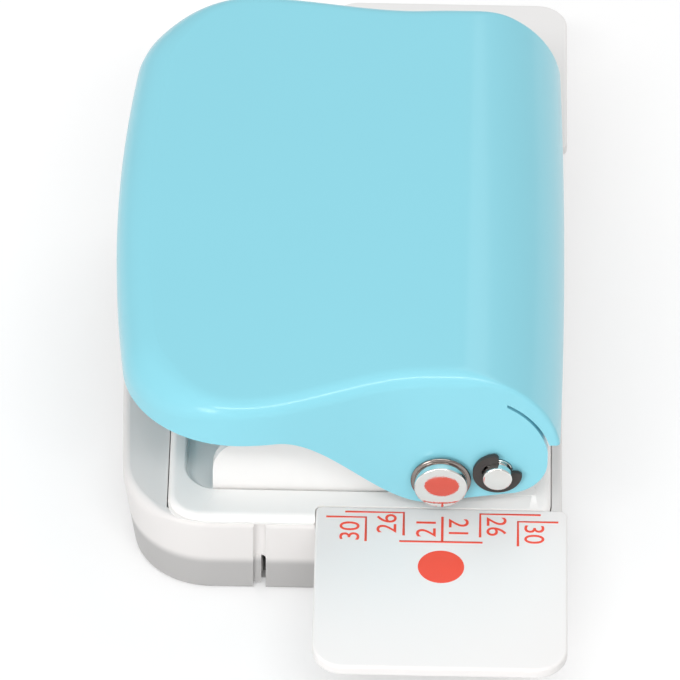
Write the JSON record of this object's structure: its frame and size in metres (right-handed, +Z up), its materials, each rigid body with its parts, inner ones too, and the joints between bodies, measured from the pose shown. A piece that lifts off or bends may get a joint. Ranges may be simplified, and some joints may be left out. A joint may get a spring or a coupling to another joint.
{
  "type": "loose-leaf paper punch",
  "caption": "Desk paper punch for loose-leaf sheets: broad pressed lever on a steel frame, frosted chip tray below and a flat plug-in paper guide at each end.",
  "frame": {"origin": "centre of the bounding box's underside, on the desk", "axes": "+X from the handle towards the paper side, +Y along the row of holes, +Z up"},
  "size_m": [0.0546, 0.1196, 0.034],
  "materials": {
    "frosted_plastic": "frosted, lets some light through",
    "white_plastic": "fine satin",
    "white_paint": "satin",
    "blue_paint": "satin",
    "plated_steel": "satin",
    "bright_steel": "polished",
    "black_steel": "blackened"
  },
  "bodies": {
    "tray": {"chip_tray": "frosted_plastic"},
    "punch": {"deck": "white_plastic", "punch_frame": "white_paint", "frame_screws": "plated_steel", "die_plate": "plated_steel", "paper_stop": "plated_steel", "lower_guide": "plated_steel", "upper_guide": "plated_steel", "guide_screws": "plated_steel", "return_springs": "plated_steel", "pivot_pin": "bright_steel", "pivot_clips": "black_steel", "pivot_spacers": "white_plastic"},
    "lever": {"lever": "blue_paint", "press_bar": "bright_steel", "press_bar_rings": "bright_steel"},
    "punches": {"punch_pin_1": "bright_steel", "punch_pin_2": "bright_steel", "punch_pin_3": "bright_steel", "punch_pin_4": "bright_steel", "punch_pin_5": "bright_steel", "punch_pin_6": "bright_steel", "pin_clips": "black_steel"},
    "wing_near": {"wing_near": "white_plastic"},
    "wing_far": {"wing_far": "white_plastic"}
  },
  "joints": [
    {"name": "punch_lift", "type": "slide", "parent": "tray", "child": "punch", "axis": [0, 0, 1], "range_m": [0, 0.02]},
    {"name": "lever_swing", "type": "hinge", "parent": "punch", "child": "lever", "pos_m": [0.01885, 0, 0.01915], "axis": [0, -1, 0], "range_deg": [0, 11], "stiffness_Nm_per_rad": 1, "springref_deg": -14.32},
    {"name": "punch_stroke", "type": "slide", "parent": "punch", "child": "punches", "axis": [0, 0, -1], "range_m": [0, 0.00126], "deforming": ["return_springs"]},
    {"name": "wing_near_slide", "type": "slide", "parent": "punch", "child": "wing_near", "axis": [0, -1, 0], "range_m": [0, 0.008]},
    {"name": "wing_far_slide", "type": "slide", "parent": "punch", "child": "wing_far", "axis": [0, 1, 0], "range_m": [0, 0.008]}
  ],
  "couplings": [
    {"joint": "punch_stroke", "follows": "lever_swing", "m_per_rad": 0.006515}
  ]
}
